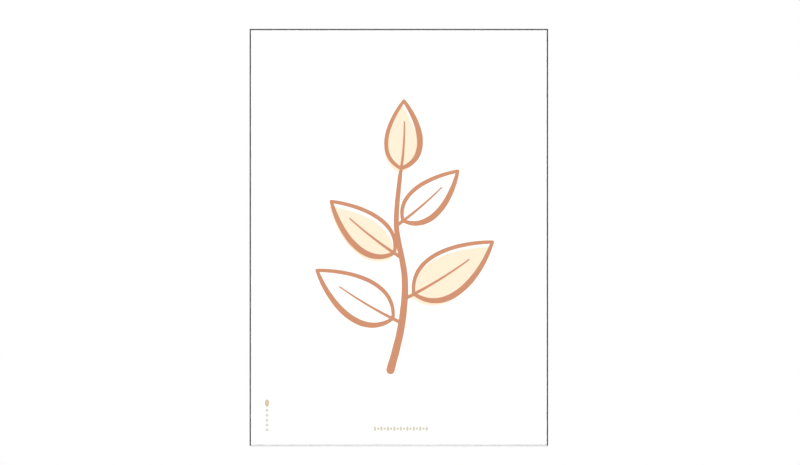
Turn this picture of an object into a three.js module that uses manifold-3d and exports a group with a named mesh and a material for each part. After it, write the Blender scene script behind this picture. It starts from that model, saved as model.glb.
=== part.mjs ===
// Framed art print, 50 x 70 cm: a two-colour leaf print behind a clear pane in a slim mitred metal frame.
// Millimetres, +Z up. The front faces -Y and the wall is the plane y = 0.
// The origin is the point on the wall where the nail holds the hanger's middle notch.
import * as THREE from "three";
import { mergeVertices } from "three/addons/utils/BufferGeometryUtils.js";
import Module from "manifold-3d";

const wasm = await Module();
wasm.setup();

// Driving dimensions: the sheet and the room left round it
const SHEET_W = 500;
const SHEET_H = 700;
const SHEET_ROOM = 0.2;

// Driving dimensions: the rail's section, across (u, from the outer face) and deep (v, from the front)
const RAIL_DEPTH = 18;
const RAIL_WIDTH = 9.8;
const OUTER_WALL = 0.8;
const INNER_WALL = 1;
const LIP_WIDTH = 2;
const LIP_BACK = 1.4;
const FACE_SLOPE = THREE.MathUtils.degToRad(25);
const RIB_FRONT = 11;
const RIB_REAR = 12.2;
const REAR_LIP = 1;
const SLOT_NEAR = 2.6;
const SLOT_FAR = 7.4;
const EDGE_BREAK = 0.2;
const MITRE_GAP = 0.05;

// Driving dimensions: the layers behind the lips
const PANE_FRONT = 1.5;
const PANE_THICKNESS = 1.2;
const INK_THICKNESS = 0.1;
const LAYER_GAP = 0.05;
const PAPER_THICKNESS = 0.3;
const BOARD_THICKNESS = 3;
const PANE_ROOM = 0.4;

// Driving dimensions: the hardware
const PAD_THICKNESS = 2;
const PAD_DIAMETER = 9.4;
const PAD_ROUND = 0.8;
const PAD_SIDES = 24;
const PAD_FROM_CORNER = 48;
const SEAT_GAP = 0.1;
const CLIP_LENGTH = 62;
const CLIP_WIDTH = 13;
const CLIP_SHEET = 0.5;
const CLIP_STEPS = 12;
const PLATE_LEG = 42;
const PLATE_THICKNESS = 2;
const PLATE_SIDE_ROOM = 0.2;
const CORNER_CUT = 1.5;
const SCREW_FROM_CORNER = 30;
const SCREW_SHANK = 3;
const SCREW_HOLE = 3.4;
const SCREW_HEAD = 4.4;
const SCREW_HEAD_HEIGHT = 1.1;
const SCREW_BREAK = 0.3;
const SCREW_SIDES = 20;
const HOLE_STEPS = 16;
const RECESS_SPAN = 2.6;
const RECESS_WIDTH = 0.6;
const RECESS_DEPTH = 0.7;
const NOTCH_FROM_TOP = 22;
const HANGER_LENGTH = 45;
const HANGER_SHEET = 1;
const HANGER_EDGE_FROM_TOP = 3;
const FOOT_THICKNESS = 1.4;
const FOOT_INSET = 6;
const TOOTH_COUNT = 11;
const TOOTH_PITCH = 3.2;
const TOOTH_HEIGHT = 2.2;

// Sizes that follow from them
const OUTER_W = SHEET_W + 2 * (SHEET_ROOM + OUTER_WALL);
const OUTER_H = SHEET_H + 2 * (SHEET_ROOM + OUTER_WALL);
const FRONT_Y = -(RAIL_DEPTH + PAD_THICKNESS);
const CENTRE_Z = NOTCH_FROM_TOP - OUTER_H / 2;
const SLOT_CENTRE = (SLOT_NEAR + SLOT_FAR) / 2;
const LINE_FRONT = PANE_FRONT + PANE_THICKNESS + 2 * LAYER_GAP;
const TINT_FRONT = LINE_FRONT + INK_THICKNESS + LAYER_GAP;
const PAPER_FRONT = TINT_FRONT + INK_THICKNESS + LAYER_GAP;
const BOARD_FRONT = PAPER_FRONT + PAPER_THICKNESS + 2 * LAYER_GAP;
const BOARD_REAR = BOARD_FRONT + BOARD_THICKNESS;
const PLATE_REAR = RAIL_DEPTH - REAR_LIP - SEAT_GAP;

// Finishes
const blackFrame = material(0x3b3b3d, 0.42, 0.6);
const clearAcrylic = new THREE.MeshStandardMaterial({
  color: 0xf4f8f6,
  roughness: 0.02,
  metalness: 0,
  transparent: true,
  opacity: 0.12,
});
const whitePaper = material(0xfdfdfb, 0.9, 0);
const terracottaInk = material(0xd79877, 0.85, 0);
const creamInk = material(0xfff3d8, 0.85, 0);
const hardboard = material(0x8a6a4a, 0.8, 0);
const springSteel = material(0x8f9296, 0.35, 0.9);
const zincSteel = material(0xa9abac, 0.4, 0.9);
const blackRubber = material(0x2a2a2b, 0.85, 0);

function material(color, roughness, metalness) {
  return new THREE.MeshStandardMaterial({ color, roughness, metalness });
}

function named(name, geometry, finish) {
  const mesh = new THREE.Mesh(geometry, finish.clone());
  mesh.name = name;
  return mesh;
}

// A closed geometry as a solid that can be joined and cut, and back again
function solidOf(geometry) {
  const bare = geometry.index ? geometry.toNonIndexed() : geometry.clone();
  bare.deleteAttribute("normal");
  bare.deleteAttribute("uv");
  const merged = mergeVertices(bare, 1e-4);
  const mesh = new wasm.Mesh({
    numProp: 3,
    vertProperties: merged.attributes.position.array,
    triVerts: new Uint32Array(merged.index.array),
  });
  return new wasm.Manifold(mesh);
}

function geometryOf(solid) {
  const mesh = solid.getMesh();
  const geometry = new THREE.BufferGeometry();
  geometry.setAttribute("position", new THREE.BufferAttribute(mesh.vertProperties, 3));
  geometry.setIndex(new THREE.BufferAttribute(mesh.triVerts, 1));
  const flat = geometry.toNonIndexed();
  flat.computeVertexNormals();
  return flat;
}

function joined(geometries) {
  const solids = geometries.map(solidOf);
  return geometryOf(solids.reduce((whole, next) => whole.add(next)));
}

function shapeOf(points) {
  return new THREE.Shape(points.map(([x, y]) => new THREE.Vector2(x, y)));
}

// A flat piece seen from the front: its outline lies in x and z, and it fills the depths v0 to v1
function flatPiece(shape, v0, v1) {
  const geometry = new THREE.ExtrudeGeometry(shape, { depth: v1 - v0, bevelEnabled: false });
  geometry.rotateX(Math.PI / 2);
  geometry.translate(0, FRONT_Y + v1, 0);
  return geometry;
}

function panel(width, height, v0, v1) {
  const geometry = new THREE.BoxGeometry(width, v1 - v0, height);
  geometry.translate(0, FRONT_Y + (v0 + v1) / 2, 0);
  return geometry;
}

// A block that spans x, depth v and height z
function block(x0, x1, v0, v1, z0, z1) {
  const geometry = new THREE.BoxGeometry(x1 - x0, v1 - v0, z1 - z0);
  geometry.translate((x0 + x1) / 2, FRONT_Y + (v0 + v1) / 2, (z0 + z1) / 2);
  return geometry;
}

// Rails: one extruded section, with a sloped front lip, a rib behind the picture and a slotted rear channel
function railSection() {
  const drop = Math.tan(FACE_SLOPE);
  const innerFace = RAIL_WIDTH - INNER_WALL;
  const lipFront = RAIL_DEPTH - REAR_LIP;
  return shapeOf([
    [0, EDGE_BREAK],
    [EDGE_BREAK / 2, 0],
    [LIP_WIDTH, (LIP_WIDTH - EDGE_BREAK / 2) * drop],
    [LIP_WIDTH, LIP_BACK],
    [OUTER_WALL, LIP_BACK],
    [OUTER_WALL, RIB_FRONT],
    [RAIL_WIDTH - EDGE_BREAK, RIB_FRONT],
    [RAIL_WIDTH, RIB_FRONT + EDGE_BREAK],
    [RAIL_WIDTH, RAIL_DEPTH - EDGE_BREAK],
    [RAIL_WIDTH - EDGE_BREAK, RAIL_DEPTH],
    [SLOT_FAR, RAIL_DEPTH],
    [SLOT_FAR, lipFront],
    [innerFace, lipFront],
    [innerFace, RIB_REAR],
    [OUTER_WALL, RIB_REAR],
    [OUTER_WALL, lipFront],
    [SLOT_NEAR, lipFront],
    [SLOT_NEAR, RAIL_DEPTH],
    [EDGE_BREAK, RAIL_DEPTH],
    [0, RAIL_DEPTH - EDGE_BREAK],
  ]);
}

// The bottom rail as seen from the frame's centre. Each end is cut back by its distance from the outer face.
function railGeometry(length, centreToOuter) {
  const geometry = new THREE.ExtrudeGeometry(railSection(), { depth: length, bevelEnabled: false });
  const at = geometry.attributes.position;
  for (let i = 0; i < at.count; i++) {
    const u = at.getX(i);
    const v = at.getY(i);
    const end = at.getZ(i) > length / 2 ? -1 : 1;
    at.setXYZ(i, end * (length / 2 - u - MITRE_GAP), FRONT_Y + v, u - centreToOuter);
  }
  geometry.computeVertexNormals();
  return geometry;
}

// The four sides in turn, each a quarter turn on from the bottom one
const SIDES = [
  { name: "bottom", turn: 0, length: OUTER_W, reach: OUTER_H / 2, clips: [-130, 130] },
  { name: "left", turn: 1, length: OUTER_H, reach: OUTER_W / 2, clips: [-190, 190] },
  { name: "top", turn: 2, length: OUTER_W, reach: OUTER_H / 2, clips: [-130, 130] },
  { name: "right", turn: 3, length: OUTER_H, reach: OUTER_W / 2, clips: [-190, 190] },
];

function onSide(side, mesh) {
  mesh.rotation.y = (side.turn * Math.PI) / 2;
  return mesh;
}

function frameRails() {
  return SIDES.map((side) => {
    const geometry = railGeometry(side.length, side.reach);
    return onSide(side, named(`frame_rail_${side.name}`, geometry, blackFrame));
  });
}

// Layers: clear pane, printed sheet and backing board
function layers() {
  const paneW = OUTER_W - 2 * (OUTER_WALL + PANE_ROOM);
  const paneH = OUTER_H - 2 * (OUTER_WALL + PANE_ROOM);
  const pane = panel(paneW, paneH, PANE_FRONT, PANE_FRONT + PANE_THICKNESS);
  const sheet = panel(SHEET_W, SHEET_H, PAPER_FRONT, PAPER_FRONT + PAPER_THICKNESS);
  const board = panel(paneW, paneH, BOARD_FRONT, BOARD_REAR);
  return [
    named("glazing", pane, clearAcrylic),
    named("print_sheet", sheet, whitePaper),
    named("backing_board", board, hardboard),
  ];
}

// The print: an upright sprig of leaves, brushed in one ink, measured from the middle of the sheet.
// The tint of some leaves is laid a little low and to the left of their outline, as in a two-colour print.
const STEM_POINTS = [
  [-14, -223],
  [4, -150],
  [10, -70],
  [-4, 20],
  [2, 104],
];
const LEAVES = [
  { along: 0.27, angle: 151, length: 168, belly: 33, tinted: false },
  { along: 0.4, angle: 30, length: 176, belly: 35, tinted: true },
  { along: 0.6, angle: 144, length: 152, belly: 29, tinted: true },
  { along: 0.75, angle: 39, length: 138, belly: 26, tinted: false },
  { along: 1, angle: 84, length: 126, belly: 27, tinted: true },
];
const TINT_SHIFT = [-3, -8.5];
const STROKE_STEP = 8;
const CAP_STEPS = 5;

// A leaf's curves, as shares of its length and its belly: where its edges part, two points that pull each
// edge out, the tip, and two points of the midrib
const LEAF_STALK = 0.1;
const EDGE_PULLS = [
  [0.24, 1.6],
  [0.66, 1.2],
];
const LEAF_TIP = [1, 0.25];
const RIB_POINTS = [
  [0.35, -0.12],
  [0.72, 0.08],
];

// Width of each brush stroke, from its start (t = 0) to its end (t = 1)
const swell = (t) => Math.sin(Math.PI * t) ** 0.8;
const STEM_BRUSH = (t) => 14 - 7 * t;
const UPPER_BRUSH = (t) => 5.5 + 1.5 * swell(t);
const LOWER_BRUSH = (t) => 5.5 + 4.5 * swell(t);
const RIB_BRUSH = (t) => 7 - 4.5 * Math.sqrt(t);

// A brush stroke along a curve, with round ends and a width that changes along it
function strokeShape(curve, widthAt) {
  const steps = Math.ceil(curve.getLength() / STROKE_STEP);
  const near = [];
  const far = [];
  for (let i = 0; i <= steps; i++) {
    const t = i / steps;
    near.push(besideCurve(curve, t, widthAt(t) / 2, 90));
    far.push(besideCurve(curve, t, widthAt(t) / 2, -90));
  }
  const capAngles = Array.from({ length: CAP_STEPS - 1 }, (_, i) => 90 - (180 * (i + 1)) / CAP_STEPS);
  const endCap = capAngles.map((angle) => besideCurve(curve, 1, widthAt(1) / 2, angle));
  const startCap = capAngles.map((angle) => besideCurve(curve, 0, widthAt(0) / 2, angle - 180));
  return new THREE.Shape([...near, ...endCap, ...far.reverse(), ...startCap]);
}

// The point at a distance from the curve, at an angle from its direction there
function besideCurve(curve, t, distance, degrees) {
  const turn = THREE.MathUtils.degToRad(degrees);
  const offset = curve.getTangent(t).rotateAround(new THREE.Vector2(), turn);
  return curve.getPoint(t).addScaledVector(offset, distance);
}

function stemCurve() {
  return new THREE.SplineCurve(STEM_POINTS.map(([x, z]) => new THREE.Vector2(x, z)));
}

// The two edges and the midrib of a leaf, each from its base to its tip
function leafCurves(leaf) {
  const base = stemCurve().getPoint(leaf.along);
  const turn = THREE.MathUtils.degToRad(leaf.angle);
  const place = (forward, aside) => {
    const point = new THREE.Vector2(forward * leaf.length, aside * leaf.belly);
    return point.rotateAround(new THREE.Vector2(), turn).add(base);
  };
  const side = Math.cos(turn) < 0 ? -1 : 1;
  const placeAll = (points, way) => points.map(([forward, aside]) => place(forward, way * aside));
  const tip = placeAll([LEAF_TIP], side);
  const edge = (way) => {
    return new THREE.CubicBezierCurve(place(LEAF_STALK, 0), ...placeAll(EDGE_PULLS, way), ...tip);
  };
  const rib = new THREE.QuadraticBezierCurve(place(0, 0), ...placeAll(RIB_POINTS, side));
  return { upper: edge(side), lower: edge(-side), rib };
}

function inkLine() {
  const strokes = [strokeShape(stemCurve(), STEM_BRUSH)];
  for (const leaf of LEAVES) {
    const { upper, lower, rib } = leafCurves(leaf);
    strokes.push(strokeShape(upper, UPPER_BRUSH));
    strokes.push(strokeShape(lower, LOWER_BRUSH));
    strokes.push(strokeShape(rib, RIB_BRUSH));
  }
  return joined(strokes.map((shape) => flatPiece(shape, LINE_FRONT, LINE_FRONT + INK_THICKNESS)));
}

function leafTint(leaf) {
  const { upper, lower } = leafCurves(leaf);
  const steps = Math.ceil(leaf.length / STROKE_STEP);
  const there = upper.getPoints(steps);
  const back = lower.getPoints(steps).reverse().slice(1, -1);
  const shift = new THREE.Vector2(...TINT_SHIFT);
  const shape = new THREE.Shape([...there, ...back].map((point) => point.add(shift)));
  return flatPiece(shape, TINT_FRONT, TINT_FRONT + INK_THICKNESS);
}

function printedInk() {
  const tints = LEAVES.filter((leaf) => leaf.tinted).map((leaf, i) => {
    return named(`print_tint_leaf_${i + 1}`, leafTint(leaf), creamInk);
  });
  return [named("print_line", inkLine(), terracottaInk), ...tints];
}

// Spring clips: bowed strips between the board and the rib, which press the layers against the front lips
function clipGeometry(x, centreToOuter) {
  const half = CLIP_LENGTH / 2;
  const low = BOARD_REAR + SEAT_GAP;
  const rise = RIB_FRONT - SEAT_GAP - CLIP_SHEET - low;
  const bow = (s) => low + rise * (0.5 + 0.5 * Math.cos(Math.PI * s));
  const front = [];
  const rear = [];
  for (let i = 0; i <= CLIP_STEPS; i++) {
    const s = (2 * i) / CLIP_STEPS - 1;
    front.push([x + s * half, bow(s)]);
    rear.push([x + s * half, bow(s) + CLIP_SHEET]);
  }
  const profile = shapeOf([...front, ...rear.reverse()]);
  const geometry = new THREE.ExtrudeGeometry(profile, { depth: CLIP_WIDTH, bevelEnabled: false });
  geometry.translate(0, FRONT_Y, OUTER_WALL + 2 * PANE_ROOM - centreToOuter);
  return geometry;
}

function springClips() {
  return SIDES.flatMap((side) =>
    side.clips.map((x, i) => {
      const geometry = clipGeometry(x, side.reach);
      return onSide(side, named(`spring_clip_${side.name}_${i + 1}`, geometry, springSteel));
    }),
  );
}

// Corners: an L-shaped plate in the rear channels and a screw through each of its legs
const CORNERS = [
  { name: "bottom_left", turn: 0, x: -OUTER_W / 2, z: -OUTER_H / 2 },
  { name: "top_left", turn: 1, x: -OUTER_W / 2, z: OUTER_H / 2 },
  { name: "top_right", turn: 2, x: OUTER_W / 2, z: OUTER_H / 2 },
  { name: "bottom_right", turn: 3, x: OUTER_W / 2, z: -OUTER_H / 2 },
];

// Where the screws stand, measured from the frame's corner
const SCREW_PLACES = [
  [SCREW_FROM_CORNER, SLOT_CENTRE],
  [SLOT_CENTRE, SCREW_FROM_CORNER],
];

function plateGeometry() {
  const near = OUTER_WALL + PLATE_SIDE_ROOM;
  const far = RAIL_WIDTH - INNER_WALL - PLATE_SIDE_ROOM;
  const end = near + PLATE_LEG;
  const cut = CORNER_CUT;
  const shape = shapeOf([
    [near + cut, near],
    [end - cut, near],
    [end, near + cut],
    [end, far - cut],
    [end - cut, far],
    [far, far],
    [far, end - cut],
    [far - cut, end],
    [near + cut, end],
    [near, end - cut],
    [near, near + cut],
  ]);
  for (const [x, z] of SCREW_PLACES) {
    const hole = new THREE.Path();
    hole.absarc(x, z, SCREW_HOLE / 2, 0, 2 * Math.PI, true);
    shape.holes.push(hole);
  }
  const geometry = new THREE.ExtrudeGeometry(shape, {
    depth: PLATE_THICKNESS,
    bevelEnabled: false,
    curveSegments: HOLE_STEPS,
  });
  geometry.rotateX(Math.PI / 2);
  geometry.translate(0, FRONT_Y + PLATE_REAR, 0);
  return geometry;
}

// A screw along +Y, its head to the rear with a cross recess, at (x, z) from the corner
function screwGeometry(x, z) {
  const tip = RIB_REAR + 2 * SEAT_GAP;
  const seat = PLATE_REAR + SEAT_GAP;
  const top = seat + SCREW_HEAD_HEIGHT;
  const shank = SCREW_SHANK / 2;
  const head = SCREW_HEAD / 2;
  const profile = [
    [0, tip],
    [shank - SCREW_BREAK, tip],
    [shank, tip + SCREW_BREAK],
    [shank, seat],
    [head, seat],
    [head, top - SCREW_BREAK],
    [head - SCREW_BREAK, top],
    [0, top],
  ];
  const body = new THREE.LatheGeometry(
    profile.map(([r, v]) => new THREE.Vector2(r, v)),
    SCREW_SIDES,
  );
  const across = new THREE.BoxGeometry(RECESS_SPAN, 2 * RECESS_DEPTH, RECESS_WIDTH);
  const along = new THREE.BoxGeometry(RECESS_WIDTH, 2 * RECESS_DEPTH, RECESS_SPAN);
  across.translate(0, top, 0);
  along.translate(0, top, 0);
  const cut = solidOf(body).subtract(solidOf(across)).subtract(solidOf(along));
  const geometry = geometryOf(cut);
  geometry.translate(x, FRONT_Y, z);
  return geometry;
}

function cornerHardware() {
  return CORNERS.map((corner) => {
    const group = new THREE.Group();
    group.position.set(corner.x, 0, corner.z);
    group.rotation.y = (corner.turn * Math.PI) / 2;
    group.add(named(`corner_plate_${corner.name}`, plateGeometry(), zincSteel));
    SCREW_PLACES.forEach(([x, z], i) => {
      group.add(named(`corner_screw_${corner.name}_${i + 1}`, screwGeometry(x, z), zincSteel));
    });
    return group;
  });
}

// Hanger: a foot held under the lips of the top rail's channel, a neck in its slot and, behind them,
// a toothed plate
function hangerGeometry() {
  const top = OUTER_H / 2;
  const half = HANGER_LENGTH / 2;
  const footHalf = half - FOOT_INSET;
  const plateFront = RAIL_DEPTH + 2 * SEAT_GAP;
  const channelRoom = OUTER_WALL + 2 * PLATE_SIDE_ROOM;
  const slotRoom = SLOT_NEAR + PLATE_SIDE_ROOM;
  const footSpan = [2 * SLOT_CENTRE - channelRoom, channelRoom].map((u) => top - u);
  const neckSpan = [2 * SLOT_CENTRE - slotRoom, slotRoom].map((u) => top - u);
  const foot = block(-footHalf, footHalf, PLATE_REAR - FOOT_THICKNESS, PLATE_REAR, ...footSpan);
  const neck = block(-footHalf, footHalf, PLATE_REAR, plateFront + HANGER_SHEET / 2, ...neckSpan);
  const plate = flatPiece(hangerShape(top, half), plateFront, plateFront + HANGER_SHEET);
  return joined([foot, neck, plate]);
}

function hangerShape(top, half) {
  const cut = CORNER_CUT;
  const upperEdge = top - HANGER_EDGE_FROM_TOP;
  const notch = top - NOTCH_FROM_TOP;
  const tooth = notch - TOOTH_HEIGHT;
  const outline = [
    [-half, upperEdge - cut],
    [-half + cut, upperEdge],
    [half - cut, upperEdge],
    [half, upperEdge - cut],
    [half, tooth],
  ];
  const first = ((TOOTH_COUNT - 1) / 2) * TOOTH_PITCH;
  for (let i = 0; i < TOOTH_COUNT; i++) {
    const x = first - i * TOOTH_PITCH;
    outline.push([x + TOOTH_PITCH / 2, tooth], [x, notch]);
  }
  outline.push([-first - TOOTH_PITCH / 2, tooth], [-half, tooth]);
  return shapeOf(outline);
}

// Wall pads: round soft feet across the slot at both ends of the bottom rail
function padGeometry(x) {
  const r = PAD_DIAMETER / 2;
  const seat = RAIL_DEPTH + SEAT_GAP;
  const wall = RAIL_DEPTH + PAD_THICKNESS;
  const profile = [
    [0, seat],
    [r, seat],
    [r, wall - PAD_ROUND],
  ];
  for (const degrees of [30, 60, 90]) {
    const turn = THREE.MathUtils.degToRad(degrees);
    profile.push([r - PAD_ROUND * (1 - Math.cos(turn)), wall - PAD_ROUND * (1 - Math.sin(turn))]);
  }
  profile.push([0, wall]);
  const points = profile.map(([radius, v]) => new THREE.Vector2(radius, FRONT_Y + v));
  const geometry = new THREE.LatheGeometry(points, PAD_SIDES);
  geometry.translate(x, 0, SLOT_CENTRE - OUTER_H / 2);
  return geometry;
}

function wallPads() {
  const x = OUTER_W / 2 - PAD_FROM_CORNER;
  return [
    named("wall_pad_left", padGeometry(-x), blackRubber),
    named("wall_pad_right", padGeometry(x), blackRubber),
  ];
}

const framedPrint = new THREE.Group();
framedPrint.position.z = CENTRE_Z;
framedPrint.add(...frameRails());
framedPrint.add(...layers());
framedPrint.add(...printedInk());
framedPrint.add(...springClips());
framedPrint.add(...cornerHardware());
framedPrint.add(named("wall_hanger", hangerGeometry(), zincSteel));
framedPrint.add(...wallPads());

export default framedPrint;
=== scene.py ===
"""Dresses the framed art print: a leaf sprig in two inks behind a clear pane, in a slim metal frame.

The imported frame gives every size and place. Lengths are in metres, apart from names that end in _mm or _MM
and the print's design. The picture faces -Y and hangs from its nail at the origin.
"""

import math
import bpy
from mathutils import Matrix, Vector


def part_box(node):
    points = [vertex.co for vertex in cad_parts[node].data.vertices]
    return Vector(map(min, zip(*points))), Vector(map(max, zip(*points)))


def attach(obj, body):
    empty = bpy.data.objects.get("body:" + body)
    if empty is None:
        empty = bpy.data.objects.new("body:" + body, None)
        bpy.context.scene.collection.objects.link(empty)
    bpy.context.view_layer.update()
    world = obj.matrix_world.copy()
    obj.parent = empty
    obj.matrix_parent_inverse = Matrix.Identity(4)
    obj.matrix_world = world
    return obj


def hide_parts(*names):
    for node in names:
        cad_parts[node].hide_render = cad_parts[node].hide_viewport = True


bl_info = {
    "name": "Framed art print",
    "version": (1, 0, 0),
    "blender": (4, 5, 0),
    "location": "3D View > Sidebar > Art Print",
    "description": "Builds the finish of a framed two-colour leaf print around its packed frame",
    "category": "Object",
}

import bmesh
import bpy
from bpy.props import FloatProperty, FloatVectorProperty, IntProperty, PointerProperty
from mathutils import Matrix, Vector, noise

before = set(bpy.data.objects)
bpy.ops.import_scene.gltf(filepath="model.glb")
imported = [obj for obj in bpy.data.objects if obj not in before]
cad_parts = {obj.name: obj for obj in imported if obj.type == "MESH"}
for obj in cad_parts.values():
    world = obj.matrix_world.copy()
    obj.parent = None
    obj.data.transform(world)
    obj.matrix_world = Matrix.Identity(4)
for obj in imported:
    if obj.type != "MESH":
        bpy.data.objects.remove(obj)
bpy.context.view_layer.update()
MM = 0.001
BODY = "root"
SIDES = ("top", "bottom", "left", "right")
CORNERS = ("bottom_left", "top_left", "top_right", "bottom_right")

SHEET_LOW, SHEET_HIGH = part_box("print_sheet")
RAIL_BOXES = [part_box(f"frame_rail_{side}") for side in SIDES]
OUTER_LOW = Vector([min(low[axis] for low, high in RAIL_BOXES) for axis in range(3)])
OUTER_HIGH = Vector([max(high[axis] for low, high in RAIL_BOXES) for axis in range(3)])

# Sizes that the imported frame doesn't give
PLATE_ROUNDING = 0.00018
HANGER_ROUNDING = 0.00008
CLIP_SHEET = 0.0005
CLIP_CORNER = 0.004
RIVET_RADIUS = 0.0021
RIVET_HEIGHT = 0.0005
RIVET_SPREAD = 0.0125
RIVET_FROM_EDGE = 0.005
RIVET_SIDES = 32

# How meshes are cleaned and shaded. Points nearer than WELD become one. The others are angles in degrees
# between two faces: below the first they become one face, above the second their edge is rounded, and above
# the third it stays sharp.
WELD = 3e-6
FLAT_BELOW = 1
ROUND_ABOVE = 25
SHARP_ABOVE = 40


# Shader expressions
class Wire:
    """A number inside a material, which takes part in Python sums."""

    def __init__(self, maker, socket):
        self.maker = maker
        self.socket = socket

    def __add__(self, other):
        return self.maker.maths("ADD", self, other)

    def __radd__(self, other):
        return self.maker.maths("ADD", other, self)

    def __rsub__(self, other):
        return self.maker.maths("SUBTRACT", other, self)

    def __mul__(self, other):
        return self.maker.maths("MULTIPLY", self, other)

    def __truediv__(self, other):
        return self.maker.maths("DIVIDE", self, other)


class Finish:
    """One procedural material, built node by node around a Principled shader."""

    def __init__(self, name):
        self.material = bpy.data.materials.new(name)
        self.material.use_nodes = True
        self.work_in(self.material.node_tree, "Principled BSDF")

    def work_in(self, tree, shader):
        self.nodes = tree.nodes
        self.links = tree.links
        self.shader = tree.nodes[shader]

    @classmethod
    def of_tree(cls, tree, shader):
        """The same tools for another node tree, such as the room's."""
        make = cls.__new__(cls)
        make.work_in(tree, shader)
        return make

    def feed(self, socket, value):
        """Sets a socket to a value, or links it to a wire."""
        if isinstance(value, Wire):
            self.links.new(value.socket, socket)
        elif hasattr(value, "__len__") and len(value) == 3 and socket.type == "RGBA":
            socket.default_value = (*value, 1.0)
        else:
            socket.default_value = value

    def node(self, kind, settings=None, inputs=None, output=0):
        """Adds a shader node: its settings first, then the values or links of its sockets."""
        made = self.nodes.new("ShaderNode" + kind)
        for name, value in (settings or {}).items():
            if name == "stops":
                self.set_stops(made.color_ramp, value)
            else:
                setattr(made, name, value)
        for key, value in (inputs or {}).items():
            self.feed(made.inputs[key], value)
        return Wire(self, made.outputs[output])

    def maths(self, operation, *terms):
        """A number worked out from others."""
        return self.node("Math", {"operation": operation}, dict(enumerate(terms)))

    @staticmethod
    def set_stops(ramp, stops):
        """Gives a colour ramp its stops, each a place and a grey level."""
        while len(ramp.elements) < len(stops):
            ramp.elements.new(1.0)
        for element, (place, level) in zip(ramp.elements, stops):
            element.position = place
            element.color = (level, level, level, 1.0)

    def place(self, stretch=(1.0, 1.0, 1.0)):
        """The surface point in millimetres, stretched along each axis."""
        point = self.node("TexCoord", output="Object")
        scale = tuple(s / MM for s in stretch)
        return self.node("VectorMath", {"operation": "MULTIPLY"}, {0: point, 1: scale})

    def grain(self, along, across, lengthwise):
        """The surface point, for lines that run along an axis: closer across it and drawn out along it."""
        stretch = [across] * 3
        stretch["XYZ".index(along)] = lengthwise
        return self.place(stretch)

    def distance(self, point, scale):
        """How far a point is from the origin, with each axis scaled. A scale of 0 leaves an axis out."""
        scaled = self.node("VectorMath", {"operation": "MULTIPLY"}, {0: point, 1: scale})
        return self.node("VectorMath", {"operation": "LENGTH"}, {0: scaled}, "Value")

    def noise(self, point, size_mm, detail=3.0, roughness=0.55):
        """Soft noise from 0 to 1, with patches of about the given size."""
        inputs = {"Vector": point, "Scale": 1 / size_mm, "Detail": detail, "Roughness": roughness}
        return self.node("TexNoise", {}, inputs, "Fac")

    def cells(self, point, size_mm, output="Distance"):
        """Cells of about the given size."""
        return self.node("TexVoronoi", {}, {"Vector": point, "Scale": 1 / size_mm}, output)

    def ramp(self, value, *stops):
        """A grey level that follows the value through the stops."""
        return self.node("ValToRGB", {"stops": stops}, {0: value}, "Color")

    def blend(self, factor, first, second):
        """A colour between two others."""
        inputs = {0: factor, 6: first, 7: second}
        return self.node("Mix", {"data_type": "RGBA"}, inputs, 2)

    def bump(self, height, depth_mm, strength=1.0):
        """Relief of the given depth."""
        inputs = {"Height": height, "Distance": depth_mm * MM, "Strength": strength}
        return self.node("Bump", {}, inputs)

    def done(self, **inputs):
        """Feeds the shader's sockets, named with underscores for spaces, and gives the material."""
        for name, value in inputs.items():
            self.feed(self.shader.inputs[name.replace("_", " ")], value)
        return self.material


def tinted(colour, share):
    """A colour made lighter or darker by a share."""
    return tuple(min(1.0, c * (1 + share)) for c in colour)


# Materials
def anodised_metal(name, colour, roughness, along):
    """Dark anodised aluminium, with fine drawn lines along the rail."""
    make = Finish(name)
    drawn = make.noise(make.grain(along, 9.0, 0.015), 3.2, 3.0, 0.6)
    cloud = make.noise(make.place(), 42.0, 3.0)
    grit = make.noise(make.place(), 0.14, 2.0)
    shade = make.ramp(drawn * 0.6 + cloud * 0.3 + grit * 0.1, (0.3, 0.0), (0.7, 1.0))
    base = make.blend(shade, tinted(colour, -0.09), tinted(colour, 0.09))
    rough = roughness - 0.03 + drawn * 0.03 + cloud * 0.03
    relief = make.bump(drawn * 0.6 + grit * 0.4, 0.004, 0.3)
    return make.done(Base_Color=base, Metallic=1.0, Roughness=rough, Normal=relief)


def worn_and_highlit_metal(name, colour, roughness):
    """The same metal where an arris is rubbed a little brighter, with a painted highlight that lightens
    every edge.
    """
    make = Finish(name)
    patches = make.noise(make.place(), 9.0, 5.0, 0.7)
    wear_and_highlight = make.ramp(patches, (0.42, 0.0), (0.7, 1.0))
    # Part wear, part painted highlight: the arris is lightened by up to three quarters
    base = make.blend(wear_and_highlight, tinted(colour, 0.1), tinted(colour, 0.75))
    return make.done(Base_Color=base, Metallic=1.0, Roughness=roughness - 0.05 + patches * 0.1)


def clear_acrylic(name):
    """Polished acrylic sheet, as clear as water."""
    make = Finish(name)
    return make.done(Base_Color=(0.99, 0.992, 0.992), Roughness=0.0, IOR=1.49, Transmission_Weight=1.0)


def art_paper(name, colour):
    """Heavy uncoated paper with a fine tooth."""
    make = Finish(name)
    tooth = make.noise(make.place(), 0.35, 4.0, 0.65)
    felt = make.noise(make.place(), 4.0, 3.0)
    base = make.blend(tooth * 0.6 + felt * 0.4, tinted(colour, -0.022), tinted(colour, 0.012))
    relief = make.bump(tooth * 0.7 + felt * 0.3, 0.03, 0.5)
    return make.done(Base_Color=base, Roughness=0.88, Specular_IOR_Level=0.3, Normal=relief)


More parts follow.
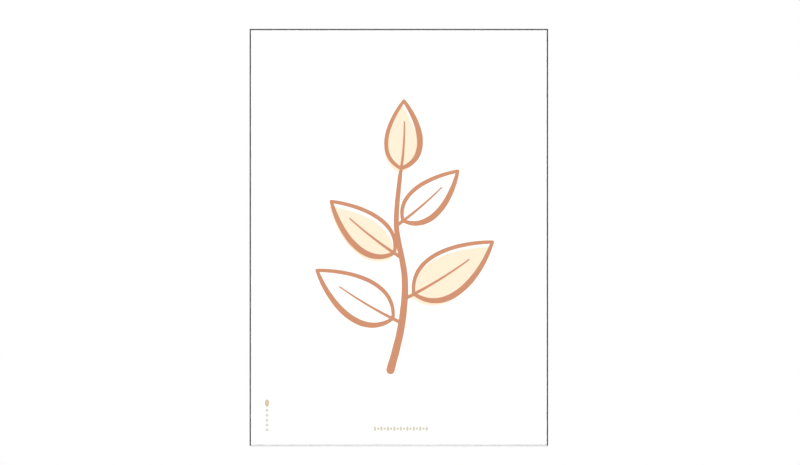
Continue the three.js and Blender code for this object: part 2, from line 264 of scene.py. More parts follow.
def printing_ink(name, colour, mottle):
    """Matt ink laid on the paper's tooth, a little uneven in its cover."""
    make = Finish(name)
    tooth = make.noise(make.place(), 0.3, 3.0, 0.6)
    cover = make.noise(make.place(), 5.0, 5.0, 0.6)
    pinholes = make.ramp(make.noise(make.place(), 0.45, 2.0), (0.24, 1.0), (0.33, 0.0))
    base = make.blend(cover * 0.7 + tooth * 0.3, tinted(colour, -mottle), tinted(colour, mottle))
    base = make.blend(pinholes * 0.35, base, tinted(colour, 6 * mottle))
    relief = make.bump(tooth, 0.02, 0.4)
    return make.done(Base_Color=base, Roughness=0.72 + cover * 0.14, Specular_IOR_Level=0.35, Normal=relief)


def pressed_board(name, colour):
    """Brown fibreboard, pressed smooth, with darker and paler fibres."""
    make = Finish(name)
    felt = make.noise(make.place(), 1.3, 6.0, 0.75)
    lumps = make.noise(make.place(), 7.0, 4.0, 0.65)
    fibres = make.noise(make.place((1.0, 1.0, 0.4)), 2.2, 4.0, 0.7)
    cloud = make.noise(make.place(), 70.0, 4.0, 0.6)
    flecks = make.ramp(make.cells(make.place((1.0, 1.0, 0.45)), 4.2), (0.05, 1.0), (0.15, 0.0))
    shade = make.ramp(felt * 0.42 + lumps * 0.28 + fibres * 0.16 + cloud * 0.14, (0.34, 0.0), (0.66, 1.0))
    base = make.blend(shade, tinted(colour, -0.38), tinted(colour, 0.4))
    base = make.blend(flecks * 0.45, base, tinted(colour, -0.6))
    relief = make.bump(felt * 0.7 + fibres * 0.3, 0.05, 0.5)
    return make.done(Base_Color=base, Roughness=0.5 + shade * 0.22, Normal=relief)


def zinc_plate(name, colour):
    """Zinc-plated steel, with crystals and a faint yellow and blue cast."""
    make = Finish(name)
    crystals = make.cells(make.place(), 2.4, "Color")
    grey = make.node("RGBToBW", {}, {0: crystals})
    cloud = make.noise(make.place(), 7.0, 4.0)
    base = make.blend(grey * 0.6 + cloud * 0.4, tinted(colour, -0.2), tinted(colour, 0.12))
    base = make.blend(cloud * 0.25, base, (0.62, 0.6, 0.44))
    fine = make.noise(make.place(), 0.25, 3.0)
    relief = make.bump(fine, 0.01, 0.4)
    rough = 0.24 + grey * 0.12 + fine * 0.1
    return make.done(Base_Color=base, Metallic=1.0, Roughness=rough, Normal=relief)


def turned_zinc(name, colour, width):
    """A plated round head of the given width, with the rings of its turning about its middle."""
    make = Finish(name)
    share = make.node("TexCoord", output="Generated")
    aside = make.node("VectorMath", {"operation": "SUBTRACT"}, {0: share, 1: (0.5, 0.5, 0.5)})
    radius_mm = make.distance(aside, (width / MM, 0.0, width / MM))
    rings = make.maths("SINE", radius_mm * 42.0)
    cloud = make.noise(make.place(), 1.4, 4.0)
    base = make.blend(cloud, tinted(colour, -0.22), tinted(colour, 0.12))
    relief = make.bump(rings * 0.5 + cloud, 0.008, 0.5)
    return make.done(Base_Color=base, Metallic=1.0, Roughness=0.22 + cloud * 0.14, Normal=relief)


def blued_steel(name, colour, along):
    """Hardened spring strip, blue-black, rolled along its length."""
    make = Finish(name)
    rolled = make.noise(make.grain(along, 6.0, 0.08), 1.0, 4.0, 0.7)
    heat = make.noise(make.place(), 14.0, 3.0)
    base = make.blend(rolled * 0.4 + heat * 0.6, tinted(colour, -0.35), tinted(colour, 0.35))
    base = make.blend(make.ramp(heat, (0.45, 0.0), (0.75, 0.4)), base, (0.16, 0.2, 0.3))
    return make.done(Base_Color=base, Metallic=1.0, Roughness=0.24 + rolled * 0.16)


def moulded_rubber(name, colour):
    """Matt black rubber with a fine moulded grain."""
    make = Finish(name)
    grain = make.noise(make.place(), 0.22, 3.0)
    dust = make.noise(make.place(), 3.0, 4.0)
    base = make.blend(dust, colour, tinted(colour, 1.2))
    return make.done(Base_Color=base, Roughness=0.72 + dust * 0.18, Normal=make.bump(grain, 0.03, 0.6))


# Mesh helpers
def piece_from(mesh, name, materials, slot, *nodes):
    """Makes an object that rides on the frame and stands for the given nodes. The slot is not used."""
    mesh.materials.clear()
    for material in materials:
        mesh.materials.append(material)
    piece = bpy.data.objects.new(name, mesh)
    bpy.context.scene.collection.objects.link(piece)
    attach(piece, BODY)
    if nodes:
        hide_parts(*nodes)
    return piece


def mesh_from(shape, name):
    """Turns a bmesh into a mesh."""
    mesh = bpy.data.meshes.new(name)
    bmesh.ops.recalc_face_normals(shape, faces=shape.faces)
    shape.to_mesh(mesh)
    shape.free()
    return mesh


def softened(node, name, width, segments=2):
    """A copy of a frame node's mesh with its edges rounded. The rounded strips take the second material."""
    shape = bmesh.new()
    shape.from_mesh(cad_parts[node].data)
    bmesh.ops.remove_doubles(shape, verts=shape.verts, dist=WELD)
    bmesh.ops.dissolve_limit(shape, angle_limit=math.radians(FLAT_BELOW),
                             verts=shape.verts, edges=shape.edges)
    steep = math.radians(ROUND_ABOVE)
    sharp = [e for e in shape.edges if e.is_manifold and e.calc_face_angle() > steep]
    bmesh.ops.bevel(shape, geom=sharp, offset=width, segments=segments, profile=0.5,
                    affect="EDGES", clamp_overlap=True, material=1)
    bmesh.ops.remove_doubles(shape, verts=shape.verts, dist=WELD)
    bmesh.ops.dissolve_degenerate(shape, edges=shape.edges, dist=WELD)
    bmesh.ops.triangulate(shape, faces=[f for f in shape.faces if len(f.verts) > 4])
    for face in shape.faces:
        face.smooth = True
    return mesh_from(shape, name)


def even_shading(piece):
    """Keeps broad faces flat and lets only the rounded strips turn."""
    modifier = piece.modifiers.new("Even shading", "WEIGHTED_NORMAL")
    modifier.keep_sharp = True


def plain_finish(node, material, slot):
    """Gives a frame node that stays in view its material."""
    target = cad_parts[node]
    target.data.materials.clear()
    target.data.materials.append(material)
    return target


def bowed_strip(low, high, along, steps, name):
    """A thin bowed strip with round corners that fills the box of a frame node, its crest to the rear."""
    long_axis, wide_axis = (0, 2) if along == "X" else (2, 0)
    middle = (low + high) / 2
    half = (high[long_axis] - low[long_axis]) / 2
    width = high[wide_axis] - low[wide_axis]
    rise = high.y - low.y - CLIP_SHEET
    shape = bmesh.new()
    rows = {0: [], CLIP_SHEET: []}
    for i in range(steps + 1):
        s = 2 * i / steps - 1
        from_end = min(half * (1 - abs(s)), CLIP_CORNER)
        cut = CLIP_CORNER - math.sqrt(CLIP_CORNER**2 - (CLIP_CORNER - from_end) ** 2)
        bow = low.y + rise * (0.5 + 0.5 * math.cos(math.pi * s))
        for depth, row in rows.items():
            ends = []
            for aside in (-1, 1):
                point = middle.copy()
                point[long_axis] += s * half
                point[wide_axis] += aside * (width / 2 - cut)
                point.y = bow + depth
                ends.append(shape.verts.new(point))
            row.append(ends)
    front, rear = rows[0], rows[CLIP_SHEET]
    for i in range(steps):
        (a, b), (c, d) = front[i], front[i + 1]
        (e, f), (g, h) = rear[i], rear[i + 1]
        for corners in ((a, b, d, c), (e, g, h, f), (a, c, g, e), (b, f, h, d)):
            shape.faces.new(corners)
    for first, last in ((front[0], rear[0]), (front[-1], rear[-1])):
        shape.faces.new((first[0], last[0], last[1], first[1]))
    return smoothed(mesh_from(shape, name))


def turned(profile, sides, name):
    """A closed solid turned round the Y axis, from pairs of radius and depth. It ends at no radius."""
    shape = bmesh.new()
    rings = []
    for radius, depth in profile:
        if radius == 0:
            rings.append([shape.verts.new((0, depth, 0))])
        else:
            ring = [(radius * math.cos(a), depth, radius * math.sin(a)) for a in turns_of(sides)]
            rings.append([shape.verts.new(point) for point in ring])
    for first, second in zip(rings, rings[1:]):
        for i in range(sides):
            j = (i + 1) % sides
            if len(first) == 1:
                shape.faces.new((first[0], second[j], second[i]))
            elif len(second) == 1:
                shape.faces.new((first[i], first[j], second[0]))
            else:
                shape.faces.new((first[i], first[j], second[j], second[i]))
    return smoothed(mesh_from(shape, name))


def turns_of(sides):
    """The angles of a regular polygon's corners."""
    return [2 * math.pi * i / sides for i in range(sides)]


def smoothed(mesh):
    """Smooth shading, apart from the sharp edges."""
    mesh.shade_smooth()
    mesh.set_sharp_from_angle(angle=math.radians(SHARP_ABOVE))
    return mesh


# The print's design, in millimetres from the middle of the sheet. The tint of some leaves is laid a little
# low and to the left of their outline, as in a two-colour print.
STEM_POINTS = ((-14, -223), (4, -150), (10, -70), (-4, 20), (2, 104))
LEAVES = (
    {"along": 0.27, "angle": 151, "length": 168, "belly": 33, "tinted": False},
    {"along": 0.4, "angle": 30, "length": 176, "belly": 35, "tinted": True},
    {"along": 0.6, "angle": 144, "length": 152, "belly": 29, "tinted": True},
    {"along": 0.75, "angle": 39, "length": 138, "belly": 26, "tinted": False},
    {"along": 1, "angle": 84, "length": 126, "belly": 27, "tinted": True},
)
TINT_SHIFT = Vector((-3, -8.5))

# A leaf's curves, as shares of its length and its belly: where its edges part, two points that pull each
# edge out, the tip, and two points of the midrib
LEAF_STALK = 0.1
EDGE_PULLS = ((0.24, 1.6), (0.66, 1.2))
LEAF_TIP = (1, 0.25)
RIB_POINTS = ((0.35, -0.12), (0.72, 0.08))

# How finely the strokes are drawn, and how their sides waver: a wave's length, and steps between the waves
# of one stroke and another and of a stroke's two sides
OUTLINE_STEP_MM = 1.6
CAP_STEPS = 12
TANGENT_STEP = 1e-4
LENGTH_STEPS = 60
WAVE_MM = 22
STROKE_APART = 7.3
SIDES_APART = 5.1

# A row of beads and dots at the sheet's foot, and an oval over a column of dots at its side. Each has its
# width and height, and each row its place and pitch.
FOOT_BEADS = 9
FOOT_BEAD = (4.4, 8.2)
FOOT_DOT = (4.6, 4.6)
FOOT_PITCH = 10.9
FOOT_ROW_X = -40.2
FOOT_ROW_Z = -321.7
SIDE_DOTS = 5
SIDE_DOT = (5.6, 5.6)
SIDE_PITCH = 8.2
SIDE_COLUMN_X = -221.9
SIDE_COLUMN_Z = -290.9
SIDE_OVAL = (7.6, 12.5)
SIDE_OVAL_Z = -278.7
OVAL_SIDES = 28


def swell(t):
    """The belly of a brush stroke, from 0 at its ends to 1 in its middle."""
    return max(0.0, math.sin(math.pi * t)) ** 0.8


# Width of each brush stroke, from its start (t = 0) to its end (t = 1)
def stem_brush(t):
    return 14 - 7 * t


def upper_brush(t):
    return 5.5 + 1.5 * swell(t)


def lower_brush(t):
    return 5.5 + 4.5 * swell(t)


def rib_brush(t):
    return 7 - 4.5 * math.sqrt(t)


def stem_curve(t):
    """The stem: a smooth line through its points."""
    last = len(STEM_POINTS) - 1
    start = min(int(t * last), last - 1)
    part = t * last - start
    before, here, there, after = (
        Vector(STEM_POINTS[min(max(start + k, 0), last)]) for k in (-1, 0, 1, 2)
    )
    lead, follow = (there - before) / 2, (after - here) / 2
    cubic = (2 * here - 2 * there + lead + follow) * part**3
    square = (3 * there - 3 * here - 2 * lead - follow) * part**2
    return cubic + square + lead * part + here


def bezier(*controls):
    """A curve drawn by its control points."""
    degree = len(controls) - 1

    def curve(t):
        weights = [math.comb(degree, k) * t**k * (1 - t) ** (degree - k) for k in range(degree + 1)]
        return sum((w * c for w, c in zip(weights, controls)), Vector((0, 0)))

    return curve


def leaf_curves(leaf):
    """A leaf's upper edge, lower edge and midrib, each from its base to its tip."""
    base = stem_curve(leaf["along"])
    turn = math.radians(leaf["angle"])
    side = -1 if math.cos(turn) < 0 else 1

    def place(forward, aside):
        return base + turned_by(forward * leaf["length"], aside * leaf["belly"], turn)

    def place_all(points, way):
        return [place(forward, way * aside) for forward, aside in points]

    def edge(way):
        return bezier(place(LEAF_STALK, 0), *place_all(EDGE_PULLS, way), *place_all([LEAF_TIP], side))

    rib = bezier(place(0, 0), *place_all(RIB_POINTS, side))
    return edge(side), edge(-side), rib


def turned_by(x, y, turn):
    """A flat vector, turned by an angle."""
    return Vector((x * math.cos(turn) - y * math.sin(turn), x * math.sin(turn) + y * math.cos(turn)))


def curve_length(curve):
    points = [curve(i / LENGTH_STEPS) for i in range(LENGTH_STEPS + 1)]
    return sum((b - a).length for a, b in zip(points, points[1:]))


def beside(curve, t, distance, degrees):
    """The point at a distance from the curve, at an angle from its direction."""
    low, high = max(0.0, t - TANGENT_STEP), min(1.0, t + TANGENT_STEP)
    direction = (curve(high) - curve(low)).normalized()
    return curve(t) + turned_by(direction.x, direction.y, math.radians(degrees)) * distance


def stroke_outline(curve, brush, waver, seed):
    """The outline of a brush stroke: a little unsteady along its sides, round at its ends."""
    length = curve_length(curve)
    steps = math.ceil(length / OUTLINE_STEP_MM)

    def half(t, row):
        unsteady = noise.noise(Vector((t * length / WAVE_MM, seed * STROKE_APART, row * SIDES_APART)))
        return brush(t) / 2 * (1 + waver * unsteady)

    sides = [i / steps for i in range(steps + 1)]
    near = [beside(curve, t, half(t, 0), 90) for t in sides]
    far = [beside(curve, t, half(t, 1), -90) for t in sides]
    turns = [90 - 180 * k / CAP_STEPS for k in range(1, CAP_STEPS)]
    end = [beside(curve, 1, half(1, 0), a) for a in turns]
    start = [beside(curve, 0, half(0, 0), a - 180) for a in turns]
    return near + end + far[::-1] + start


def add_prism(shape, outline, front_mm, rear_mm):
    """Adds a flat closed body in millimetres, between two depths."""
    front = [shape.verts.new((p.x, front_mm, p.y)) for p in outline]
    rear = [shape.verts.new((p.x, rear_mm, p.y)) for p in outline]
    shape.faces.new(front)
    shape.faces.new(rear[::-1])
    for i in range(len(outline)):
        j = (i + 1) % len(outline)
        shape.faces.new((front[j], front[i], rear[i], rear[j]))


def prism(outline, front_mm, rear_mm, name):
    """A flat closed piece in millimetres, between two depths."""
    shape = bmesh.new()
    add_prism(shape, outline, front_mm, rear_mm)
    return mesh_from(shape, name)


def united(meshes, name):
    """One closed mesh from several that cross."""
    scene = bpy.context.scene
    makers = [bpy.data.objects.new(name, mesh) for mesh in meshes]
    cutters = bpy.data.collections.new(name)
    scene.collection.objects.link(makers[0])
    scene.collection.children.link(cutters)
    for other in makers[1:]:
        cutters.objects.link(other)
    modifier = makers[0].modifiers.new("Union", "BOOLEAN")
    modifier.operation = "UNION"
    modifier.operand_type = "COLLECTION"
    modifier.collection = cutters
    modifier.solver = "MANIFOLD"
    bpy.context.view_layer.update()
    depsgraph = bpy.context.evaluated_depsgraph_get()
    whole = bpy.data.meshes.new_from_object(makers[0].evaluated_get(depsgraph))
    for maker in makers:
        bpy.data.objects.remove(maker)
    bpy.data.collections.remove(cutters)
    whole.name = name
    return whole


def onto_sheet(mesh):
    """Takes a mesh drawn in millimetres from the sheet's middle to its place on the paper."""
    centre = (SHEET_LOW + SHEET_HIGH) / 2
    mesh.transform(Matrix.Translation((centre.x, SHEET_LOW.y, centre.z)) @ Matrix.Scale(MM, 4))
    return mesh


# Settings
class FrameSettings(bpy.types.PropertyGroup):
    metal: FloatVectorProperty(name="Metal", description="Colour of the anodised rails", subtype="COLOR",
                               default=(0.108, 0.108, 0.112), min=0, max=1)
    roughness: FloatProperty(name="Roughness", description="How matt the rails are",
                             default=0.22, min=0, max=1)
    rounding: FloatProperty(name="Rounding", description="Radius of the rails' edges",
                            default=0.00014, min=0, max=0.0004,
                            subtype="DISTANCE", unit="LENGTH", precision=5)


class PrintSettings(bpy.types.PropertyGroup):
    paper: FloatVectorProperty(name="Paper", description="Colour of the sheet", subtype="COLOR",
                               default=(0.97, 0.97, 0.965), min=0, max=1)
    line: FloatVectorProperty(name="Line ink", description="Colour of the brushed outline", subtype="COLOR",
                              default=(0.549, 0.238, 0.126), min=0, max=1)
    tint: FloatVectorProperty(name="Tint ink", description="Colour of the leaves' tint", subtype="COLOR",
                              default=(0.95, 0.75, 0.572), min=0, max=1)
    mark: FloatVectorProperty(name="Pale ink", description="Colour of the side's dots", subtype="COLOR",
                              default=(0.627, 0.617, 0.551), min=0, max=1)
    sand: FloatVectorProperty(name="Sand ink", description="Colour of the row at the foot", subtype="COLOR",
                              default=(0.611, 0.565, 0.455), min=0, max=1)
    tan: FloatVectorProperty(name="Tan ink", description="Colour of the small oval", subtype="COLOR",
                             default=(0.622, 0.466, 0.312), min=0, max=1)
    film: FloatProperty(name="Ink film", description="Height of the outline's ink above the paper",
                        default=0.00006, min=0.00001, max=0.0002,
                        subtype="DISTANCE", unit="LENGTH", precision=5)
    waver: FloatProperty(name="Waver", description="Unsteadiness of the brush, as a share of its width",
                         default=0.05, min=0, max=0.3)


class BackSettings(bpy.types.PropertyGroup):
    board: FloatVectorProperty(name="Board", description="Colour of the backing board", subtype="COLOR",
                               default=(0.27, 0.165, 0.09), min=0, max=1)
    zinc: FloatVectorProperty(name="Zinc", description="Colour of the plated steel", subtype="COLOR",
                              default=(0.62, 0.63, 0.64), min=0, max=1)
    spring: FloatVectorProperty(name="Spring steel", description="Colour of the clips", subtype="COLOR",
                                default=(0.36, 0.38, 0.42), min=0, max=1)
    rubber: FloatVectorProperty(name="Rubber", description="Colour of the wall pads", subtype="COLOR",
                                default=(0.018, 0.018, 0.019), min=0, max=1)
    clip_steps: IntProperty(name="Clip steps", description="Steps along a clip's bow",
                            default=48, min=12, max=96)


class StageSettings(bpy.types.PropertyGroup):
    lens: FloatProperty(name="Lens", description="Focal length in millimetres", default=85, min=20, max=300)
    horizon: FloatProperty(name="Room light", description="Brightness of the room at eye level",
                           default=0.26, min=0, max=5)
    zenith: FloatProperty(name="Overhead light", description="Brightness of the room straight above",
                          default=0.78, min=0, max=5)
    key: FloatProperty(name="Key light", description="Strength of the light beside the camera",
                       default=2.2, min=0, max=20)
    top: FloatProperty(name="Top light", description="Strength of the light mirrored in the bottom rail",
                       default=0.75, min=0, max=20)
    back: FloatProperty(name="Back light", description="Strength of the light behind the picture",
                        default=1.2, min=0, max=20)
    floor_drop: FloatProperty(name="Floor drop", description="Height of the nail above the floor",
                              default=1.5, min=0.8, max=3, subtype="DISTANCE", unit="LENGTH")


# Pieces
class ARTPRINT_OT_rails(bpy.types.Operator):
    """Rounds the four rails' edges and gives them their drawn metal"""

    bl_idname = "artprint.rails"
    bl_label = "Frame rails"

    def execute(self, context):
        settings = context.scene.artprint_frame
        colour, roughness = tuple(settings.metal), settings.roughness
        level = anodised_metal("rail_metal_level", colour, roughness, "X")
        upright = anodised_metal("rail_metal_upright", colour, roughness, "Z")
        # The rounded arrises take a lighter metal: partly wear, partly a painted highlight along the edges.
        worn_and_highlit = worn_and_highlit_metal("rail_metal_worn_and_highlit", colour, roughness)
        for side in SIDES:
            node = f"frame_rail_{side}"
            mesh = softened(node, f"finished_rail_{side}", settings.rounding)
            metal = level if side in ("top", "bottom") else upright
            piece = piece_from(mesh, f"finished_rail_{side}", [metal, worn_and_highlit], "frame_metal", node)
            even_shading(piece)
        return {"FINISHED"}


class ARTPRINT_OT_layers(bpy.types.Operator):
    """Gives the pane, the sheet and the backing board their materials"""

    bl_idname = "artprint.layers"
    bl_label = "Pane, sheet and board"

    def execute(self, context):
        pane = plain_finish("glazing", clear_acrylic("clear_acrylic"), "glazing")
        pane.visible_shadow = False
        pane.visible_diffuse = False
        paper = art_paper("art_paper", tuple(context.scene.artprint_print.paper))
        plain_finish("print_sheet", paper, "paper")
        board = pressed_board("pressed_board", tuple(context.scene.artprint_back.board))
        plain_finish("backing_board", board, "hardboard")
        return {"FINISHED"}


class ARTPRINT_OT_sprig(bpy.types.Operator):
    """Brushes the sprig's outline and lays the tint of its leaves"""

    bl_idname = "artprint.sprig"
    bl_label = "Printed sprig"

    def execute(self, context):
        settings = context.scene.artprint_print
        film_mm = settings.film / MM
        strokes = [(stem_curve, stem_brush)]
        for leaf in LEAVES:
            strokes += zip(leaf_curves(leaf), (upper_brush, lower_brush, rib_brush))
        prisms = []
        for i, (curve, brush) in enumerate(strokes):
            outline = stroke_outline(curve, brush, settings.waver, i)
            prisms.append(prism(outline, -film_mm, 0, f"stroke_{i}"))
        line = onto_sheet(united(prisms, "brushed_outline"))
        ink = printing_ink("outline_ink", tuple(settings.line), 0.04)
        piece_from(line, "brushed_outline", [ink], "line_ink", "print_line")
        self.lay_tints(settings, film_mm / 3)
        return {"FINISHED"}

    def lay_tints(self, settings, film_mm):
        ink = printing_ink("tint_ink", tuple(settings.tint), 0.012)
        tinted_leaves = [leaf for leaf in LEAVES if leaf["tinted"]]
        for i, leaf in enumerate(tinted_leaves, 1):
            upper, lower, _ = leaf_curves(leaf)
            steps = math.ceil(leaf["length"] / OUTLINE_STEP_MM)
            there = [upper(k / steps) for k in range(steps + 1)]
            back = [lower(k / steps) for k in range(steps - 1, 0, -1)]
            outline = [p + TINT_SHIFT for p in there + back]
            mesh = onto_sheet(prism(outline, -film_mm, 0, f"leaf_tint_{i}"))
            piece_from(mesh, f"leaf_tint_{i}", [ink], "tint_ink", f"print_tint_leaf_{i}")


class ARTPRINT_OT_marks(bpy.types.Operator):
    """Prints the small plain beads and dots at the foot and the side of the sheet"""

    bl_idname = "artprint.marks"
    bl_label = "Small dots"

    def execute(self, context):
        settings = context.scene.artprint_print
        pale = printing_ink("pale_ink", tuple(settings.mark), 0.03)
        tan = printing_ink("tan_ink", tuple(settings.tan), 0.03)
        sand = printing_ink("sand_ink", tuple(settings.sand), 0.03)
        beads = [(FOOT_ROW_X + i * FOOT_PITCH, FOOT_ROW_Z) for i in range(FOOT_BEADS)]
        between = [(x + FOOT_PITCH / 2, z) for x, z in beads[:-1]]
        side = [(SIDE_COLUMN_X, SIDE_COLUMN_Z - i * SIDE_PITCH) for i in range(SIDE_DOTS)]
        self.print_ovals("foot_beads", beads, FOOT_BEAD, sand, settings)
        self.print_ovals("foot_dots", between, FOOT_DOT, sand, settings)
        self.print_ovals("side_dots", side, SIDE_DOT, pale, settings)
        self.print_ovals("side_oval", [(SIDE_COLUMN_X, SIDE_OVAL_Z)], SIDE_OVAL, tan, settings)
        return {"FINISHED"}

    def print_ovals(self, name, centres, size, ink, settings):
        """Prints equal ovals, of a width and height, as one piece."""
        shape = bmesh.new()
        film_mm = settings.film / MM
        rim = [Vector((math.cos(a) * size[0], math.sin(a) * size[1])) / 2 for a in turns_of(OVAL_SIDES)]
        for centre in centres:
            add_prism(shape, [Vector(centre) + point for point in rim], -film_mm, 0)
        piece_from(onto_sheet(mesh_from(shape, name)), name, [ink], "tint_ink")


class ARTPRINT_OT_clips(bpy.types.Operator):
    """Bows the spring clips that press the layers forward"""

    bl_idname = "artprint.clips"
    bl_label = "Spring clips"

    def execute(self, context):
        settings = context.scene.artprint_back
        colour = tuple(settings.spring)
        steel = {along: blued_steel(f"blued_steel_{along}", colour, along) for along in "XZ"}
        for side in SIDES:
            along = "X" if side in ("top", "bottom") else "Z"
            for i in (1, 2):
                node = f"spring_clip_{side}_{i}"
                low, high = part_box(node)
                mesh = bowed_strip(low, high, along, settings.clip_steps, f"bowed_clip_{side}_{i}")
                piece_from(mesh, f"bowed_clip_{side}_{i}", [steel[along]], "spring_steel", node)
        return {"FINISHED"}


class ARTPRINT_OT_corners(bpy.types.Operator):
    """Plates the corner angles and turns their screws"""

    bl_idname = "artprint.corners"
    bl_label = "Corner plates and screws"

    def execute(self, context):
        colour = tuple(context.scene.artprint_back.zinc)
        zinc = zinc_plate("zinc_plate", colour)
        low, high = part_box("corner_screw_bottom_left_1")
        turned_metal = turned_zinc("turned_zinc", colour, high.x - low.x)
        for corner in CORNERS:
            node = f"corner_plate_{corner}"
            mesh = softened(node, f"corner_angle_{corner}", PLATE_ROUNDING)
            even_shading(piece_from(mesh, f"corner_angle_{corner}", [zinc, zinc], "zinc_steel", node))
            for i in (1, 2):
                plain_finish(f"corner_screw_{corner}_{i}", turned_metal, "screw_steel")
        return {"FINISHED"}


class ARTPRINT_OT_hanger(bpy.types.Operator):
    """Finishes the toothed hanger on the top rail"""

    bl_idname = "artprint.hanger"
    bl_label = "Toothed hanger"

    def execute(self, context):
        colour = tuple(context.scene.artprint_back.zinc)
        zinc = zinc_plate("hanger_zinc", colour)
        turned_metal = turned_zinc("rivet_zinc", colour, 2 * RIVET_RADIUS)
        mesh = softened("wall_hanger", "toothed_hanger", HANGER_ROUNDING)
        even_shading(piece_from(mesh, "toothed_hanger", [zinc, zinc], "zinc_steel", "wall_hanger"))
        low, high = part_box("wall_hanger")
        for side, aside in (("left", -1), ("right", 1)):
            rivet = turned(rivet_profile(), RIVET_SIDES, f"hanger_rivet_{side}")
            place = ((low.x + high.x) / 2 + aside * RIVET_SPREAD, high.y, high.z - RIVET_FROM_EDGE)
            rivet.transform(Matrix.Translation(place))
            piece_from(rivet, f"hanger_rivet_{side}", [turned_metal], "zinc_steel")
        return {"FINISHED"}


def rivet_profile():
    """A low rivet head that stands on the plane y = 0, sunk a little into it."""
    dome = [(RIVET_RADIUS * math.cos(a), RIVET_HEIGHT * math.sin(a))
            for a in (math.radians(d) for d in range(0, 90, 10))]
    return [(0, -RIVET_HEIGHT / 2), (RIVET_RADIUS, -RIVET_HEIGHT / 2), *dome, (0, RIVET_HEIGHT)]


class ARTPRINT_OT_pads(bpy.types.Operator):
    """Moulds the two wall pads"""

    bl_idname = "artprint.pads"
    bl_label = "Wall pads"

    def execute(self, context):
        rubber = moulded_rubber("moulded_rubber", tuple(context.scene.artprint_back.rubber))
        for side in ("left", "right"):
            plain_finish(f"wall_pad_{side}", rubber, "pad_rubber")
        return {"FINISHED"}


# Where the picture stands in the photograph, in pixels
PHOTO_WIDTH_PX = 800
PHOTO_CENTRE_PX = (400.0, 232.5)
PICTURE_WIDTH_PX = 298.5
PICTURE_CENTRE_PX = (398.84, 237.54)

FLOOR_RADIUS = 6.0
FLOOR_SIDES = 128
FLOOR_MIDDLE = (0.78, 0.78, 0.78)
FLOOR_RIM = (0.92, 0.92, 0.92)
# Painted light: the glow added towards the floor's rim
RIM_GLOW = (0.2, 0.2, 0.2)
WHITER_FROM = 0.12
WHITEST_FROM = 0.9

# The room below the picture: its light, and how high up it goes over into the light at eye level, from 0
# straight below over 0.5 at eye level to 1 straight above
LOW_LIGHT = 0.95
LOW_LIGHT_TO = 0.375
EYE_LIGHT_FROM = 0.435

# Each far light's azimuth, elevation and spread in degrees. Azimuth 0 is the camera's side, and 90 is on
# the right.
KEY_AIM = (-1, 2, 10)
TOP_AIM = (0, 44, 18)
BACK_AIM = (150, 35, 50)
LIGHT_DISTANCE = 3


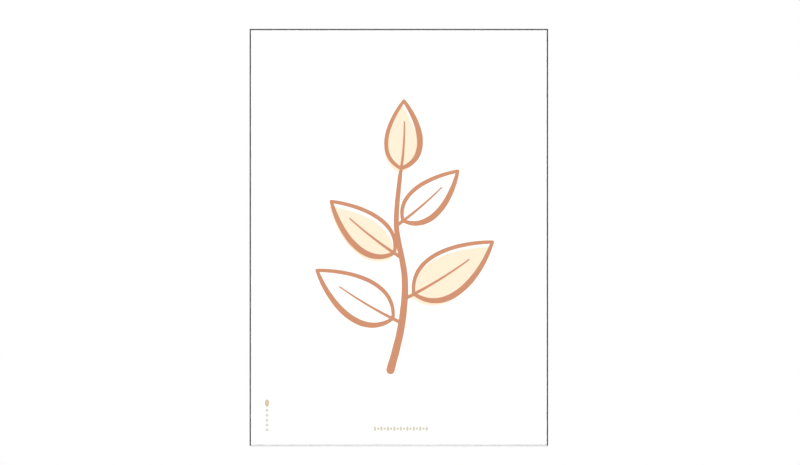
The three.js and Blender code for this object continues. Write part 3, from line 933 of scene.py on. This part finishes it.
class ARTPRINT_OT_stage(bpy.types.Operator):
    """Sets the floor, the room light, the three far lights and the camera"""

    bl_idname = "artprint.stage"
    bl_label = "Stage and camera"

    def execute(self, context):
        scene = context.scene
        settings = scene.artprint_stage
        self.lay_floor(scene, settings.floor_drop)
        self.light_room(scene, settings.horizon, settings.zenith)
        key = self.hang_light(scene, "key_light", settings.key, *KEY_AIM)
        key.visible_glossy = key.visible_transmission = False
        top = self.hang_light(scene, "top_light", settings.top, *TOP_AIM)
        top.visible_diffuse = False
        self.hang_light(scene, "back_light", settings.back, *BACK_AIM)
        self.set_camera(scene, settings.lens)
        scene.view_settings.view_transform = "Standard"
        return {"FINISHED"}

    def lay_floor(self, scene, drop):
        """A round pale floor, darker in its middle, which grows as white as the room towards its rim, where
        it glows with painted light.
        """
        shape = bmesh.new()
        turns = turns_of(FLOOR_SIDES)
        rim = [(FLOOR_RADIUS * math.cos(a), FLOOR_RADIUS * math.sin(a), -drop) for a in turns]
        shape.faces.new([shape.verts.new(point) for point in rim])
        mesh = mesh_from(shape, "floor")
        make = Finish("pale_floor")
        share = make.distance(make.place(), (1.0, 1.0, 0.0)) / (FLOOR_RADIUS / MM)
        whiter = make.ramp(share, (WHITER_FROM, 0.0), (WHITEST_FROM, 1.0))
        base = make.blend(whiter, FLOOR_MIDDLE, FLOOR_RIM)
        # Painted light: the rim glows, though it is no lamp
        glow = make.blend(whiter, (0.0, 0.0, 0.0), RIM_GLOW)
        make.done(Base_Color=base, Roughness=0.9, Emission_Color=glow, Emission_Strength=1.0)
        mesh.materials.append(make.material)
        floor = bpy.data.objects.new("floor", mesh)
        scene.collection.objects.link(floor)

    def light_room(self, scene, horizon, zenith):
        """A white room: brighter overhead, and plain white where the camera looks straight at it."""
        world = bpy.data.worlds.new("white_room")
        scene.world = world
        world.use_nodes = True
        make = Finish.of_tree(world.node_tree, "Background")
        ray = make.node("LightPath", output="Is Camera Ray")
        height = make.node("SeparateXYZ", {}, {0: make.node("TexCoord", output="Generated")}, "Z")
        low, eye = (LOW_LIGHT_TO, LOW_LIGHT), (EYE_LIGHT_FROM, horizon)
        soft = make.ramp(height * 0.5 + 0.5, low, eye, (0.5, horizon), (1.0, zenith))
        make.feed(make.shader.inputs["Strength"], soft * (1 - ray) + ray)
        make.feed(make.shader.inputs["Color"], (1.0, 1.0, 1.0))

    def hang_light(self, scene, name, strength, azimuth, elevation, spread):
        """A broad far light that aims at the picture."""
        lamp = bpy.data.lights.new(name, "SUN")
        lamp.energy = strength
        lamp.angle = math.radians(spread)
        turn, rise = math.radians(azimuth), math.radians(elevation)
        level = math.cos(rise)
        towards = Vector((math.sin(turn) * level, -math.cos(turn) * level, math.sin(rise)))
        light = bpy.data.objects.new(name, lamp)
        light.location = LIGHT_DISTANCE * towards
        light.rotation_euler = towards.to_track_quat("Z", "Y").to_euler()
        scene.collection.objects.link(light)
        return light

    def set_camera(self, scene, lens):
        camera = bpy.data.cameras.new("camera")
        camera.lens = lens
        view = bpy.data.objects.new("camera", camera)
        scene.collection.objects.link(view)
        pixel = (OUTER_HIGH.x - OUTER_LOW.x) / PICTURE_WIDTH_PX
        distance = pixel * PHOTO_WIDTH_PX * lens / camera.sensor_width
        middle = (OUTER_LOW + OUTER_HIGH) / 2
        right = (PHOTO_CENTRE_PX[0] - PICTURE_CENTRE_PX[0]) * pixel
        up = (PICTURE_CENTRE_PX[1] - PHOTO_CENTRE_PX[1]) * pixel
        view.location = (middle.x + right, OUTER_LOW.y - distance, middle.z + up)
        view.rotation_euler = (math.radians(90), 0, 0)
        scene.camera = view


OPERATORS = (
    ARTPRINT_OT_rails,
    ARTPRINT_OT_layers,
    ARTPRINT_OT_sprig,
    ARTPRINT_OT_marks,
    ARTPRINT_OT_clips,
    ARTPRINT_OT_corners,
    ARTPRINT_OT_hanger,
    ARTPRINT_OT_pads,
    ARTPRINT_OT_stage,
)
SETTINGS = {
    "artprint_frame": FrameSettings,
    "artprint_print": PrintSettings,
    "artprint_back": BackSettings,
    "artprint_stage": StageSettings,
}


class ARTPRINT_PT_panel(bpy.types.Panel):
    """Lists the pieces and their settings"""

    bl_idname = "ARTPRINT_PT_panel"
    bl_label = "Art Print"
    bl_space_type = "VIEW_3D"
    bl_region_type = "UI"
    bl_category = "Art Print"

    def draw(self, context):
        for group in SETTINGS:
            box = self.layout.box()
            settings = getattr(context.scene, group)
            for name in settings.bl_rna.properties.keys():
                if name not in ("rna_type", "name"):
                    box.prop(settings, name)
        for operator in OPERATORS:
            self.layout.operator(operator.bl_idname)


def register():
    for cls in (*SETTINGS.values(), *OPERATORS, ARTPRINT_PT_panel):
        bpy.utils.register_class(cls)
    for name, cls in SETTINGS.items():
        setattr(bpy.types.Scene, name, PointerProperty(type=cls))


def unregister():
    for name in SETTINGS:
        delattr(bpy.types.Scene, name)
    for cls in (ARTPRINT_PT_panel, *reversed(OPERATORS), *SETTINGS.values()):
        bpy.utils.unregister_class(cls)


def main():
    register()
    for operator in OPERATORS:
        section, name = operator.bl_idname.split(".")
        getattr(getattr(bpy.ops, section), name)()


if __name__ == "__main__":
    main()
